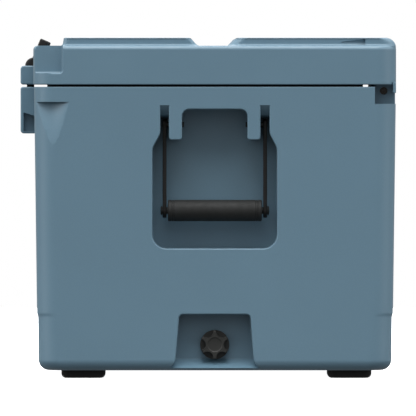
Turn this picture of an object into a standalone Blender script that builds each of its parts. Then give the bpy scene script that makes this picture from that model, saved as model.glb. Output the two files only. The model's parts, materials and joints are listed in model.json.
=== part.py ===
"""Hard-sided wheeled cooler: foam-filled tub and lid, T-latches, swing handles, drain, feet and wheels.

Axes: +X is the end with the drain and the feet, -X the end with the wheels, -Y the latch side,
+Y the hinge side, +Z up. The origin is on the floor under the middle of the overall box.
Lengths below are in millimetres and are scaled to metres as each shape is made.
"""

from math import atan2, cos, pi, radians, sin, sqrt

import bmesh
import bpy
from mathutils import Matrix, Vector

MM = 0.001
GAP = 0.3  # between touching pieces
OVER = 5.0  # how far a cutter runs past what it cuts

# Overall body
HALF_LENGTH = 355.5
RIM_Z = 338.3
BASE_Z = 9.2
DRAFT = 0.0085  # inward run of the end walls per unit of depth
CORNER_R = 24.0
WALL = 4.0
STEP_Z = 73.5  # height of the small shoulder on the long faces
FRONT_Y = -202.1
BACK_Y = 218.2

# Lid
LID_Z = 340.9
LID_TOP_Z = 386.2
PAD_TOP_Z = 395.4
LID_FRONT_Y = -203.0
LID_BACK_Y = 218.35
LID_EDGE_R = 7.0

# Inner cavity
INNER_X = 278.0
INNER_FRONT_Y = -149.5
INNER_BACK_Y = 165.5
FLOOR_Z = 45.0
LINER_T = 3.0
STEP_FLOOR_Z = 152.0
STEP_X = -206.0
INNER_R = 26.0
SHOULDER = 1.5  # how far the lower well's walls stand in from the upper well's
FLANGE_T = 3.5

# Hinge
HINGE_Y = 203.9
HINGE_Z = 333.7
PIN_R = 4.3
KNUCKLE_BORE_R = 4.65
LEDGE_Z = 318.6
LEDGE_Y = 193.5
TUB_KNUCKLES = ((-330.0, -200.0), (-65.0, 65.0), (200.0, 330.0))
LID_KNUCKLES = ((-199.0, -66.0), (66.0, 199.0))

# Latches
LATCH_X = (-205.0, 205.0)
BOSS_Y = -218.4  # front face of the bosses
LATCH_HALF = 47.0  # half width of a boss
BAR_HALF = 40.0  # half length of a latch's T-bar
STRAP_HALF = 14.0
STRAP_T = 5.8
BAR_R = 10.0
BAR_Y, BAR_Z = -203.2, 362.6
TAB_LEAN = 23.0  # degrees that a pull tab leans back
TAB_LENGTH = 33.0
REST_Z = 350.4  # floor that the bar sits over
LATCH_PIN_Y, LATCH_PIN_Z = -208.4, 296.0
LATCH_PIN_R = 3.0

# Handles
PIVOT_Z = 294.5
ROD_Z = 194.7
HANDLE_DEPTH = 22.0  # pivot behind the end face
POCKET_DEPTH = 44.0
TAB_FOOT_Z = 276.7  # lower end of the tabs that hold the pivot pins
ARM_Y = (-50.55, 66.2)
ARM_T = 4.5
GRIP_R = 12.5

# Drain
DRAIN_Y, DRAIN_Z = 7.7, 39.0
DRAIN_DEPTH = 30.0
KNOB_R = 17.0
KNOB_INNER_R = 10.5

# Feet and wheels
FOOT_Y = (-144.85, 164.15)
FOOT_X = (255.0, 327.0)
FOOT_HALF = 25.65
WHEEL_X, WHEEL_R = -290.0, 60.0
TYRE_HALF = 22.5
ARCH_R = 67.0
ARCH_HALF = 27.0
AXLE_R = 5.0

COLOURS = {
    "shell": ((0.115, 0.190, 0.250), 0.45, 0.0),
    "liner": ((0.60, 0.64, 0.66), 0.5, 0.0),
    "foam": ((0.85, 0.80, 0.62), 0.9, 0.0),
    "rubber": ((0.012, 0.012, 0.013), 0.7, 0.0),
    "black_plastic": ((0.025, 0.025, 0.026), 0.5, 0.0),
    "steel": ((0.55, 0.56, 0.57), 0.3, 1.0),
}


def clear_scene():
    for obj in list(bpy.data.objects):
        bpy.data.objects.remove(obj, do_unlink=True)


def make_collection(name):
    made = bpy.data.collections.new(name)
    bpy.context.scene.collection.children.link(made)
    return made


def material_for(node, look):
    colour, roughness, metallic = COLOURS[look]
    made = bpy.data.materials.new(node)
    made.use_nodes = True
    shader = made.node_tree.nodes["Principled BSDF"]
    shader.inputs["Base Color"].default_value = (*colour, 1.0)
    shader.inputs["Roughness"].default_value = roughness
    shader.inputs["Metallic"].default_value = metallic
    made.diffuse_color = (*colour, 1.0)
    return made


def object_from(bm, name, where):
    bmesh.ops.recalc_face_normals(bm, faces=bm.faces)
    bmesh.ops.scale(bm, vec=(MM, MM, MM), verts=bm.verts)
    mesh = bpy.data.meshes.new(name)
    bm.to_mesh(mesh)
    bm.free()
    obj = bpy.data.objects.new(name, mesh)
    where.objects.link(obj)
    return obj


def box(name, x, y, z, where):
    """A box between two limits on each axis."""
    bm = bmesh.new()
    bmesh.ops.create_cube(bm, size=1.0)
    size = (x[1] - x[0], y[1] - y[0], z[1] - z[0])
    middle = Vector(((x[0] + x[1]) / 2, (y[0] + y[1]) / 2, (z[0] + z[1]) / 2))
    bmesh.ops.scale(bm, vec=size, verts=bm.verts)
    bmesh.ops.translate(bm, vec=middle, verts=bm.verts)
    return object_from(bm, name, where)


def cylinder(name, axis, centre, span, radius, where, sides=24):
    """A cylinder along X, Y or Z: span is its two ends on that axis."""
    bm = bmesh.new()
    length = span[1] - span[0]
    bmesh.ops.create_cone(
        bm, cap_ends=True, segments=sides, radius1=radius, radius2=radius, depth=length
    )
    turn = {"X": Matrix.Rotation(pi / 2, 4, "Y"), "Y": Matrix.Rotation(-pi / 2, 4, "X"), "Z": Matrix()}
    bmesh.ops.transform(bm, matrix=turn[axis], verts=bm.verts)
    middle = (span[0] + span[1]) / 2
    place = {
        "X": (middle, centre[0], centre[1]),
        "Y": (centre[0], middle, centre[1]),
        "Z": (centre[0], centre[1], middle),
    }
    bmesh.ops.translate(bm, vec=place[axis], verts=bm.verts)
    return object_from(bm, name, where)


def arc(centre, radius, start, end, steps):
    """Points on an arc in a plane, angles in degrees."""
    points = []
    for i in range(steps + 1):
        angle = radians(start + (end - start) * i / steps)
        points.append((centre[0] + radius * cos(angle), centre[1] + radius * sin(angle)))
    return points


def rounded(corners, steps=4):
    """An outline from (u, v, radius) corners, each corner an arc of that radius."""
    points = []
    count = len(corners)
    for i, (u, v, radius) in enumerate(corners):
        here = Vector((u, v))
        if radius <= 0:
            points.append((u, v))
            continue
        before = (Vector(corners[i - 1][:2]) - here).normalized()
        after = (Vector(corners[(i + 1) % count][:2]) - here).normalized()
        half = before.angle(after) / 2
        middle = here + (before + after).normalized() * (radius / sin(half))
        reach = radius * cos(half) / sin(half)
        first = here + before * reach - middle
        last = here + after * reach - middle
        start = atan2(first.y, first.x)
        sweep = (atan2(last.y, last.x) - start + pi) % (2 * pi) - pi
        for step in range(steps + 1):
            angle = start + sweep * step / steps
            points.append((middle.x + radius * cos(angle), middle.y + radius * sin(angle)))
    return points


def prism(name, outline, axis, span, where):
    """A flat outline extruded along an axis. The outline's plane is YZ, XZ or XY for X, Y or Z."""
    spots = {
        "X": lambda u, v, w: (w, u, v),
        "Y": lambda u, v, w: (u, w, v),
        "Z": lambda u, v, w: (u, v, w),
    }
    bm = bmesh.new()
    face = bm.faces.new([bm.verts.new(spots[axis](u, v, span[0])) for u, v in outline])
    grown = bmesh.ops.extrude_face_region(bm, geom=[face])
    moved = [item for item in grown["geom"] if isinstance(item, bmesh.types.BMVert)]
    bmesh.ops.translate(bm, vec=spots[axis](0.0, 0.0, span[1] - span[0]), verts=moved)
    return object_from(bm, name, where)


def loft(name, rings, where):
    """A closed solid through rings of equally many points, capped at both ends."""
    bm = bmesh.new()
    loops = [[bm.verts.new(point) for point in ring] for ring in rings]
    count = len(loops[0])
    for low, high in zip(loops, loops[1:]):
        for i in range(count):
            j = (i + 1) % count
            bm.faces.new((low[i], low[j], high[j], high[i]))
    bm.faces.new(list(reversed(loops[0])))
    bm.faces.new(loops[-1])
    return object_from(bm, name, where)


def ring_at(z, half_x, front, back, radius, steps=4):
    """A rounded rectangle at height z."""
    corners = (
        (half_x, back, radius),
        (-half_x, back, radius),
        (-half_x, front, radius),
        (half_x, front, radius),
    )
    return [(x, y, z) for x, y in rounded(corners, steps)]


def combine(target, others, operation):
    """Adds one Boolean to target for each of the others, applied at once."""
    for other in others:
        modifier = target.modifiers.new(operation.lower(), "BOOLEAN")
        modifier.operation = operation
        modifier.solver = "EXACT"
        modifier.object = other
    bpy.context.view_layer.update()
    graph = bpy.context.evaluated_depsgraph_get()
    mesh = bpy.data.meshes.new_from_object(target.evaluated_get(graph))
    target.modifiers.clear()
    old = target.data
    target.data = mesh
    bpy.data.meshes.remove(old)
    for other in others:
        bpy.data.objects.remove(other, do_unlink=True)
    return target


def cut(target, *others):
    return combine(target, others, "DIFFERENCE")


def join(target, *others):
    return combine(target, others, "UNION")


def bevel(obj, width, segments=2, angle=40.0):
    """Rounds the sharp edges of a piece, applied at once."""
    modifier = obj.modifiers.new("edges", "BEVEL")
    modifier.width = width * MM
    modifier.segments = segments
    modifier.limit_method = "ANGLE"
    modifier.angle_limit = radians(angle)
    bpy.context.view_layer.update()
    graph = bpy.context.evaluated_depsgraph_get()
    mesh = bpy.data.meshes.new_from_object(obj.evaluated_get(graph))
    obj.modifiers.clear()
    obj.data = mesh
    return obj


def finish(obj, look, smooth=True):
    """Tidies a finished sub-part and gives it its own material."""
    bm = bmesh.new()
    bm.from_mesh(obj.data)
    bmesh.ops.remove_doubles(bm, verts=bm.verts, dist=0.00001)
    bmesh.ops.dissolve_limit(bm, angle_limit=radians(0.05), verts=bm.verts, edges=bm.edges)
    bmesh.ops.recalc_face_normals(bm, faces=bm.faces)
    bm.to_mesh(obj.data)
    bm.free()
    obj.data.materials.clear()
    obj.data.materials.append(material_for(obj.name, look))
    if smooth:
        obj.data.shade_smooth()
        obj.data.set_sharp_from_angle(angle=radians(35))
    return obj


def joint_axis(name, place, where):
    """An empty on a joint's axis, which carries the pieces that move about it."""
    carrier = bpy.data.objects.new(name, None)
    where.objects.link(carrier)
    carrier.location = Vector(place) * MM
    return carrier


def carry(carrier, *pieces):
    """Hangs pieces on an empty, with their origins on it, and leaves them where they are."""
    for piece in pieces:
        piece.data.transform(Matrix.Translation(-carrier.location))
        piece.parent = carrier


def end_x(z, inset=0.0):
    """The end wall's X at a height, for the drafted tub."""
    return HALF_LENGTH - DRAFT * (RIM_Z - z) - inset


def tub_body(name, inset, top, where):
    """The tub's outer form, moved inwards by inset, up to a given height."""
    base = BASE_Z + inset
    edge = max(12.0 - inset, 3.0)
    levels = [base + edge * (1 - cos(radians(a))) for a in (0, 30, 60, 90)]
    levels += [STEP_Z - 2.5, STEP_Z + 2.5, RIM_Z]
    if top > RIM_Z:
        levels.append(top)
    rings = []
    for z in levels:
        below = max(0.0, base + edge - z)
        curl = edge - sqrt(max(0.0, edge**2 - below**2))
        step = 1.2 if z < STEP_Z else 0.0
        depth = RIM_Z - min(z, RIM_Z)
        taper = step + 0.0128 * depth
        front = FRONT_Y + inset + curl + taper
        back = BACK_Y - inset - curl - taper
        half_x = end_x(min(z, RIM_Z), inset) - curl
        rings.append(ring_at(z, half_x, front, back, max(CORNER_R - inset, 3.0)))
    return loft(name, rings, where)


def handle_pocket(name, sign, grow, where):
    """The handle's recess: an opening with a ramped slot above each arm, or a plain block if grown."""
    low, high = 150.7 - grow, 312.3 + grow
    front, back = -64.7 - grow, 80.0 + grow
    span = sorted((sign * (HALF_LENGTH + OVER), sign * (HALF_LENGTH - POCKET_DEPTH - grow)))
    if grow:
        outline = rounded(((front, low, 16), (back, low, 16), (back, high + 4, 6), (front, high + 4, 6)), 3)
        return prism(name, outline, "X", span, where)
    corners = (
        (front, low, 16),
        (back, low, 16),
        (back, 267.0, 7),
        (71.2, 284.0, 7),
        (71.2, 317.4, 0),
        (60.7, 317.4, 0),
        (60.7, TAB_FOOT_Z, 3),
        (45.6, TAB_FOOT_Z, 3),
        (45.6, high, 8),
        (-30.3, high, 8),
        (-30.3, TAB_FOOT_Z, 3),
        (-45.6, TAB_FOOT_Z, 3),
        (-45.6, 317.4, 0),
        (-55.5, 317.4, 0),
        (-55.5, 284.0, 7),
        (front, 267.0, 7),
    )
    pocket = prism(name, rounded(corners, 3), "X", span, where)
    ramp = ((361.0, 323.5), (344.5, 305.2), (333.5, 302.4), (300.0, 302.4), (300.0, 330.0), (361.0, 330.0))
    outline = [(sign * x, z) for x, z in ramp]
    roofs = [prism("roof", outline, "Y", slot_range, where) for slot_range in ((-60, -38), (53, 76))]
    return cut(pocket, *roofs)


def drain_recess(name, grow, where):
    """The recess round the drain, wider towards the base, with a floor that ramps outwards."""
    back_x = HALF_LENGTH - DRAIN_DEPTH - grow
    outline = rounded(
        (
            (-33.5 - grow, 74.2 + grow, 4),
            (48.7 + grow, 74.2 + grow, 4),
            (52.7 + grow, 20.0, 8),
            (62.5 + grow, BASE_Z - OVER, 0),
            (-46.6 - grow, BASE_Z - OVER, 0),
            (-37.9 - grow, 20.0, 8),
        ),
        3,
    )
    recess = prism(name, outline, "X", (back_x, HALF_LENGTH + OVER), where)
    if grow:
        return recess
    slope = (
        (back_x - 1, 0),
        (back_x - 1, 19.5),
        (back_x + 1, 19.5),
        (HALF_LENGTH - 3, BASE_Z),
        (HALF_LENGTH - 3, 0),
    )
    return cut(recess, prism("ramp", slope, "Y", (-70, 80), where))


def wheel_well(name, wheel_y, side, grow, where):
    """Room for one wheel: open below, at the end and at the side."""
    span = sorted((wheel_y - side * (ARCH_HALF + grow), side * 240.0))
    well = cylinder(name, "Y", (WHEEL_X, WHEEL_R), span, ARCH_R + grow, where, sides=28)
    skirt = box("skirt", (-380, WHEEL_X + ARCH_R * 0.2), span, (-OVER, WHEEL_R), where)
    nose = box("nose", (-380, WHEEL_X - ARCH_R * 0.5), span, (-OVER, WHEEL_R + ARCH_R * 0.86 + grow), where)
    below = box("below", (WHEEL_X - ARCH_R, WHEEL_X + ARCH_R + grow), span, (-OVER, WHEEL_R), where)
    return join(well, skirt, nose, below)


def corner_scoop(name, x_sign, where):
    """The hand scoop under the rim at a front corner: flat above, fading out downwards."""
    face = x_sign * (HALF_LENGTH + OVER)
    deep = x_sign * (HALF_LENGTH - 15)
    fade = x_sign * (HALF_LENGTH + 0.5)
    top = [(face, -215.0, 320.9), (face, -157.0, 320.9), (deep, -166.0, 320.9), (deep, -215.0, 320.9)]
    foot = [(face, -215.0, 262.0), (face, -170.0, 262.0), (fade, -172.0, 262.0), (fade, -215.0, 262.0)]
    return loft(name, [foot, top], where)


def tub_boss(name, middle, where):
    """The raised boss on the tub's front that carries a latch's lower end."""
    corners = ((-190, RIM_Z, 0), (-190, 284, 0), (BOSS_Y, 284, 4), (BOSS_Y, RIM_Z, 2.5))
    return prism(name, rounded(corners, 3), "X", (middle - LATCH_HALF, middle + LATCH_HALF), where)


def latch_slot(name, middle, where):
    """The slot through a tub boss for the strap, with room for the strap's end to turn."""
    return box(name, (middle - 16, middle + 16), (-230, -201.0), (282.0, 350.0), where)


def solid_zones(inset, where):
    """Zones the room for the foam keeps clear of: pockets, arches, hinge ledge, bosses and scoops."""
    gap = inset - WALL
    zones = [handle_pocket("zone", sign, inset, where) for sign in (-1, 1)]
    zones += [wheel_well("zone", y, side, inset, where) for y, side in zip(FOOT_Y, (-1, 1))]
    zones.append(drain_recess("zone", inset, where))
    zones.append(box("zone", (-400, 400), (LEDGE_Y - 8 - gap, 240), (LEDGE_Z - WALL - 4 - gap, 400), where))
    zones.append(box("zone", (-400, 400), (-240, -190 + gap), (262 - gap, 400), where))
    for sign in (-1, 1):
        span = sorted((sign * 400.0, sign * (HALF_LENGTH - 19 - gap)))
        zones.append(box("zone", span, (-240, -155 + gap), (255 - gap, 400), where))
    slope = (
        (-400, -OVER),
        (-400, 78 + gap),
        (-338 + gap, 78 + gap),
        (WHEEL_X + 8 + gap, 14 + gap),
        (WHEEL_X + 8 + gap, -OVER),
    )
    zones.append(prism("zone", slope, "Y", (-300, 300), where))
    return zones


def build_tub_shell(parts, tools):
    shell = tub_body("tub_shell", 0.0, RIM_Z, parts)
    ledge = box("ledge", (-400, 400), (LEDGE_Y, 240), (LEDGE_Z, 360), tools)
    wells = [wheel_well("well", y, side, 0.0, tools) for y, side in zip(FOOT_Y, (-1, 1))]
    pockets = [handle_pocket("pocket", sign, 0.0, tools) for sign in (-1, 1)]
    scoops = [corner_scoop("scoop", sign, tools) for sign in (-1, 1)]
    tilt = prism(
        "tilt",
        ((-400, -OVER), (-400, 72), (-340, 72), (WHEEL_X + 2, BASE_Z - 0.05), (WHEEL_X + 2, -OVER)),
        "Y",
        (-300, 300),
        tools,
    )
    cut(shell, ledge, *wells, *pockets, *scoops, drain_recess("recess", 0.0, tools), tilt)
    bosses = [tub_boss("boss", x, tools) for x in LATCH_X]
    knuckles = []
    for low, high in TUB_KNUCKLES:
        outline = [(190, 310), (217.2, 310), (217.2, HINGE_Z - 3)]
        outline += arc((HINGE_Y, HINGE_Z), 13.0, 10, 90, 4) + [(190, HINGE_Z + 13)]
        knuckle = prism("knuckle", outline, "X", (low, high), tools)
        knuckles.append(cut(knuckle, box("trim", (-400, 400), (150, 194.2), (RIM_Z - 0.01, 360), tools)))
    join(shell, *bosses, *knuckles)
    hollow = tub_body("hollow", WALL, RIM_Z + OVER, tools)
    cut(hollow, *solid_zones(WALL, tools))
    cut(shell, hollow)
    slots = [latch_slot("slot", x, tools) for x in LATCH_X]
    pin_holes = [
        cylinder("hole", "X", (LATCH_PIN_Y, LATCH_PIN_Z), (x - 40, x + 40), LATCH_PIN_R + GAP, tools, 16)
        for x in LATCH_X
    ]
    hinge_hole = cylinder("hinge", "X", (HINGE_Y, HINGE_Z), (-400, 400), KNUCKLE_BORE_R, tools, 24)
    axle_hole = cylinder("axle", "Y", (WHEEL_X, WHEEL_R), (-130, 150), AXLE_R + GAP, tools, 20)
    drain_hole = cylinder("drain", "X", (DRAIN_Y, DRAIN_Z), (290, 335), 11.0 + GAP, tools, 24)
    tie = []
    for x in LATCH_X:
        for side in (-1, 1):
            outline = ((-215, 286), (-202.2, 286), (-202.2, 304.6), (-215, 308.7))
            edge = x + side * LATCH_HALF
            span = sorted((edge - side * 9, edge + side * 2))
            tie.append(prism("tie", outline, "X", span, tools))
    handle_pins = []
    for sign in (-1, 1):
        x = sign * (HALF_LENGTH - HANDLE_DEPTH)
        handle_pins.append(cylinder("pin", "Y", (x, PIVOT_Z), (-60, 78), 3.0 + GAP, tools, 16))
    cut(shell, *slots, *pin_holes, hinge_hole, axle_hole, drain_hole, *tie, *handle_pins)
    return finish(shell, "shell")


def liner_form(name, grow, top, where):
    """The inside of the cooler, grown outwards by grow: a deep well with a raised floor over the wheels."""
    front, back = INNER_FRONT_Y - grow, INNER_BACK_Y + grow
    half = INNER_X + grow
    radius = INNER_R + grow
    middle = (front + back) / 2
    depth = (back - front) / 2

    def rings(low, floor_x, top_z, shoulder):
        made = []
        for z, curl in ((low, edge), (low + edge * 0.3, edge * 0.3), (low + edge, 0.0), (top_z, 0.0)):
            inward = 0.012 * (RIM_Z - min(z, RIM_Z)) + curl + shoulder
            x_low = max(floor_x, -half) + inward
            x_high = half - inward
            y_half = depth - inward
            corner = max(radius - curl, 4.0)
            corners = (
                (x_high, middle + y_half, corner),
                (x_low, middle + y_half, corner),
                (x_low, middle - y_half, corner),
                (x_high, middle - y_half, corner),
            )
            made.append([(x, y, z) for x, y in rounded(corners, 4)])
        return made

    edge = 14.0
    deep = loft(name, rings(FLOOR_Z - grow, STEP_X - grow, STEP_FLOOR_Z + 30, SHOULDER), where)
    shallow = loft("shallow", rings(STEP_FLOOR_Z - grow, -1000.0, top, 0.0), where)
    sump = prism(
        "sump",
        rounded(
            (
                (DRAIN_Y - 22 - grow, 60, 0),
                (DRAIN_Y - 20 - grow, 24.5 - grow, 6),
                (DRAIN_Y + 20 + grow, 24.5 - grow, 6),
                (DRAIN_Y + 22 + grow, 60, 0),
            ),
            3,
        ),
        "X",
        (216 - grow, INNER_X - 3.5 + grow),
        where,
    )
    return join(deep, shallow, sump)


def build_tub_liner(parts, tools):
    liner = liner_form("tub_liner", LINER_T, RIM_Z, parts)
    flange_z = RIM_Z - FLANGE_T
    flange = prism(
        "flange",
        [(x, y) for x, y, _ in ring_at(0, HALF_LENGTH - WALL - GAP, FRONT_Y + WALL + 9, LEDGE_Y - 8.3, 18)],
        "Z",
        (flange_z, RIM_Z),
        tools,
    )
    join(liner, flange)
    cut(liner, liner_form("inside", 0.0, RIM_Z + OVER, tools))
    for sign in (-1, 1):
        span = sorted((sign * 400.0, sign * (HALF_LENGTH - 19.3)))
        cut(liner, box("corner", span, (-240, -154.7), (300, 360), tools))
    hole = cylinder("hole", "X", (DRAIN_Y, DRAIN_Z), (266, 290), 11.0 + GAP, tools, 24)
    cut(liner, hole)
    return finish(liner, "liner")


def build_tub_foam(parts, tools):
    inset = WALL + GAP
    foam = tub_body("tub_foam", inset, RIM_Z - FLANGE_T - GAP, parts)
    top = box("top", (-400, 400), (-300, 300), (RIM_Z - FLANGE_T - GAP, 400), tools)
    cut(foam, top, *solid_zones(inset, tools))
    cut(foam, liner_form("inside", LINER_T + GAP, RIM_Z + OVER, tools))
    axle = cylinder("axle", "Y", (WHEEL_X, WHEEL_R), (-180, 200), AXLE_R + GAP, tools, 20)
    drain = cylinder("drain", "X", (DRAIN_Y, DRAIN_Z), (266, 335), 11.0 + GAP, tools, 24)
    cut(foam, axle, drain)
    return finish(foam, "foam")


def lid_body(name, where):
    """The lid's main block, with a rounded top edge."""
    levels = [LID_Z, LID_Z + 1.0, LID_TOP_Z - LID_EDGE_R]
    levels += [LID_TOP_Z - LID_EDGE_R * (1 - sin(radians(a))) for a in (30, 60, 90)]
    rings = []
    for z in levels:
        rise = max(0.0, z - (LID_TOP_Z - LID_EDGE_R))
        curl = LID_EDGE_R - sqrt(max(0.0, LID_EDGE_R**2 - rise**2))
        if z == LID_Z:
            curl = 1.0
        back = LID_BACK_Y - curl * 0.5
        rings.append(ring_at(z, HALF_LENGTH - curl, LID_FRONT_Y + curl, back, CORNER_R - curl))
    return loft(name, rings, where)


def lid_pad(name, front, back, front_run, back_run, where):
    """A raised pad on the lid, running the whole length, with sloping long sides."""
    low, high = LID_TOP_Z - 2.0, PAD_TOP_Z
    half = HALF_LENGTH - 10.0
    rings = []
    for z, run in ((low, 0.0), (LID_TOP_Z, 0.0), (high - 1.5, 0.85), (high, 1.0)):
        in_x = 0.0 if z < high else 1.5
        ring = ring_at(z, half - in_x, front + front_run * run, back - back_run * run, 6.0, 3)
        rings.append(ring)
    return loft(name, rings, where)


def lid_boss(name, middle, where):
    """The boss on the lid's front that a latch's bar sits on."""
    corners = ((-190, LID_Z, 0), (-190, 363, 0), (BOSS_Y, 363, 3.5), (BOSS_Y, LID_Z, 3))
    return prism(name, rounded(corners, 3), "X", (middle - LATCH_HALF, middle + LATCH_HALF), where)


def bar_rest(middle, clearance, where):
    """The recess in the lid's front that a latch's bar and pull tab lie in."""
    outline = [(-240, REST_Z), (-189.5, REST_Z), (-175.0, 400.0), (-240, 400.0)]
    half = BAR_HALF + clearance
    return prism("rest", outline, "X", (middle - half, middle + half), where)


def build_lid_shell(parts, tools):
    lid = lid_body("lid_shell", parts)
    back_pad = lid_pad("pad", 24.2, LID_BACK_Y - 0.4, 8.7, 9.0, tools)
    front_pad = lid_pad("pad", -169.0, -12.4, 1.5, 8.2, tools)
    skirts = [
        box("skirt", (low, high), (LEDGE_Y + 20.9, LID_BACK_Y - 0.25), (331.3, LID_Z + 3), tools)
        for low, high in ((-348.0, -330.6), (330.6, 348.0))
    ]
    knuckles = []
    for low, high in LID_KNUCKLES:
        outline = [(LEDGE_Y + 1.2, LID_Z + 4), (LEDGE_Y + 1.2, HINGE_Z)]
        outline += arc((HINGE_Y, HINGE_Z), HINGE_Y - LEDGE_Y - 1.2, 180, 300, 6)
        outline += [(LID_BACK_Y - 0.25, 331.3), (LID_BACK_Y - 0.25, LID_Z + 4)]
        knuckles.append(prism("knuckle", outline, "X", (low + 0.5, high - 0.5), tools))
    join(lid, back_pad, front_pad, *skirts, *knuckles)
    for sign in (-1, 1):
        span = sorted((sign * 400.0, sign * (HALF_LENGTH - 14)))
        cut(lid, box("corner", span, (-240, -168.5), (354, 400), tools))
    reliefs = [
        box("relief", (low - 0.6, high + 0.6), (HINGE_Y - 15, 240), (300, HINGE_Z + 14.2), tools)
        for low, high in TUB_KNUCKLES
    ]
    bosses = [lid_boss("boss", x, tools) for x in LATCH_X]
    cut(lid, *reliefs)
    cut(lid, *[bar_rest(x, 2.0, tools) for x in LATCH_X])
    join(lid, *bosses)
    for x in LATCH_X:
        slot = box("slot", (x - 16, x + 16), (-230, -203.4), (330, REST_Z + 2), tools)
        cut(lid, bar_rest(x, 1.6, tools), slot)
    hollow = prism(
        "hollow",
        [(x, y) for x, y, _ in ring_at(0, 322, -170, 165, 16)],
        "Z",
        (LID_Z - OVER, LID_TOP_Z - WALL),
        tools,
    )
    groove = build_gasket_ring("groove", 0.3, (LID_Z - OVER, LID_Z + 3.2), tools)
    hinge_hole = cylinder("hinge", "X", (HINGE_Y, HINGE_Z), (-260, 260), KNUCKLE_BORE_R, tools, 24)
    cut(lid, hollow, groove, hinge_hole)
    return finish(lid, "shell")


def build_gasket_ring(name, grow, span, where):
    """A closed rectangular ring that follows the lid's underside."""
    outer = [(x, y) for x, y, _ in ring_at(0, 339 + grow, -187.2 - grow, 180.3 + grow, 22 + grow)]
    inner = [(x, y) for x, y, _ in ring_at(0, 329 - grow, -177.2 + grow, 170.3 - grow, 12 - grow)]
    ring = prism(name, outer, "Z", span, where)
    return cut(ring, prism("inner", inner, "Z", (span[0] - OVER, span[1] + OVER), where))


def build_lid_inside(parts, tools):
    plate_ring = [(x, y) for x, y, _ in ring_at(0, 322 - GAP, -170 + GAP, 165 - GAP, 16)]
    plug_ring = [(x, y) for x, y, _ in ring_at(0, 268, -140, 154, 20)]
    plate = prism("lid_liner", plate_ring, "Z", (LID_Z, LID_Z + 4.0), parts)
    plug = prism("plug", plug_ring, "Z", (332.0, LID_Z + 2.0), tools)
    bevel(join(plate, plug), 2.0, 1, 60)
    foam = prism("lid_foam", plate_ring, "Z", (LID_Z + 4.0 + GAP, LID_TOP_Z - WALL - GAP), parts)
    gasket = build_gasket_ring("lid_gasket", 0.0, (RIM_Z + GAP, LID_Z + 2.9), parts)
    return [
        finish(plate, "liner"),
        finish(foam, "foam", smooth=False),
        finish(gasket, "rubber", smooth=False),
    ]


def build_hinge_pin(parts):
    pin = cylinder("hinge_pin", "X", (HINGE_Y, HINGE_Z), (-326, 326), PIN_R, parts, 20)
    return finish(pin, "steel")


def build_latch(name, middle, parts, tools):
    """A rubber T-latch: a loop round its pin, a strap, a cross bar and a pull tab that leans back."""
    strap = box(
        name,
        (middle - STRAP_HALF, middle + STRAP_HALF),
        (LATCH_PIN_Y - STRAP_T / 2, LATCH_PIN_Y + STRAP_T / 2),
        (LATCH_PIN_Z, BAR_Z),
        parts,
    )
    span = (middle - STRAP_HALF, middle + STRAP_HALF)
    loop = cylinder("loop", "X", (LATCH_PIN_Y, LATCH_PIN_Z), span, 6.6, tools, 16)
    bar = cylinder("bar", "X", (BAR_Y, BAR_Z), (middle - BAR_HALF, middle + BAR_HALF), BAR_R, tools, 20)
    bevel(bar, 2.0, 1, 60)
    lean = radians(TAB_LEAN)
    tab = box("tab", (middle - 30, middle + 30), (-5.2, 5.2), (0, TAB_LENGTH), tools)
    bevel(tab, 1.6, 1, 60)
    tab.matrix_world = Matrix.Translation((0, BAR_Y * MM, BAR_Z * MM)) @ Matrix.Rotation(-lean, 4, "X")
    join(strap, loop, bar, tab)
    axis = (LATCH_PIN_Y, LATCH_PIN_Z)
    cut(strap, cylinder("bore", "X", axis, (middle - 60, middle + 60), LATCH_PIN_R + 0.15, tools, 16))
    carry(joint_axis(f"{name}_axis", (middle, *axis), parts), finish(strap, "rubber"))
    pin_name = name.replace("latch", "latch_pin")
    finish(cylinder(pin_name, "X", axis, (middle - 38, middle + 38), LATCH_PIN_R, parts, 16), "steel")


def build_handle(end, sign, parts, tools):
    """A swing handle: two arms, a rod through both, a tubular grip and a pivot pin for each arm."""
    x = sign * (HALF_LENGTH - HANDLE_DEPTH)
    carrier = joint_axis(f"handle_{end}_axis", (x, DRAIN_Y, PIVOT_Z), parts)
    for place, arm_y in zip(("front", "back"), ARM_Y):
        outline = arc((x, PIVOT_Z), 6.3, 0, 180, 8) + arc((x, ROD_Z), 8.4, 180, 360, 10)
        arm = prism(f"handle_arm_{end}_{place}", outline, "Y", (arm_y - ARM_T / 2, arm_y + ARM_T / 2), parts)
        bore = cylinder("bore", "Y", (x, PIVOT_Z), (arm_y - 9, arm_y + 9), 3.0 + 0.15, tools, 16)
        eye = cylinder("eye", "Y", (x, ROD_Z), (arm_y - 9, arm_y + 9), 4.0 + GAP, tools, 16)
        carry(carrier, finish(cut(arm, bore, eye), "black_plastic"))
        inward = 1 if arm_y < DRAIN_Y else -1
        ends = sorted((arm_y - inward * 2.6, arm_y + inward * 22.6))
        pin = cylinder(f"handle_pin_{end}_{place}", "Y", (x, PIVOT_Z), ends, 3.0, parts, 16)
        finish(pin, "black_plastic")
    low, high = ARM_Y[0] - ARM_T / 2, ARM_Y[1] + ARM_T / 2
    rod = cylinder(f"handle_rod_{end}", "Y", (x, ROD_Z), (low - 1.0, high + 1.0), 4.0, parts, 16)
    heads = [
        cylinder("head", "Y", (x, ROD_Z), sorted((edge, edge + out * 2.2)), 5.5, tools, 16)
        for edge, out in ((low - GAP, -1), (high + GAP, 1))
    ]
    carry(carrier, finish(join(rod, *heads), "black_plastic"))
    grip_span = (ARM_Y[0] + ARM_T / 2 + GAP + 1.2, ARM_Y[1] - ARM_T / 2 - GAP - 1.2)
    grip = cylinder(f"handle_grip_{end}", "Y", (x, ROD_Z), grip_span, GRIP_R, parts, 28)
    bevel(grip, 1.5, 2, 60)
    cut(grip, cylinder("core", "Y", (x, ROD_Z), (-100, 110), 4.0 + GAP, tools, 16))
    carry(carrier, finish(grip, "rubber"))


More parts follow.
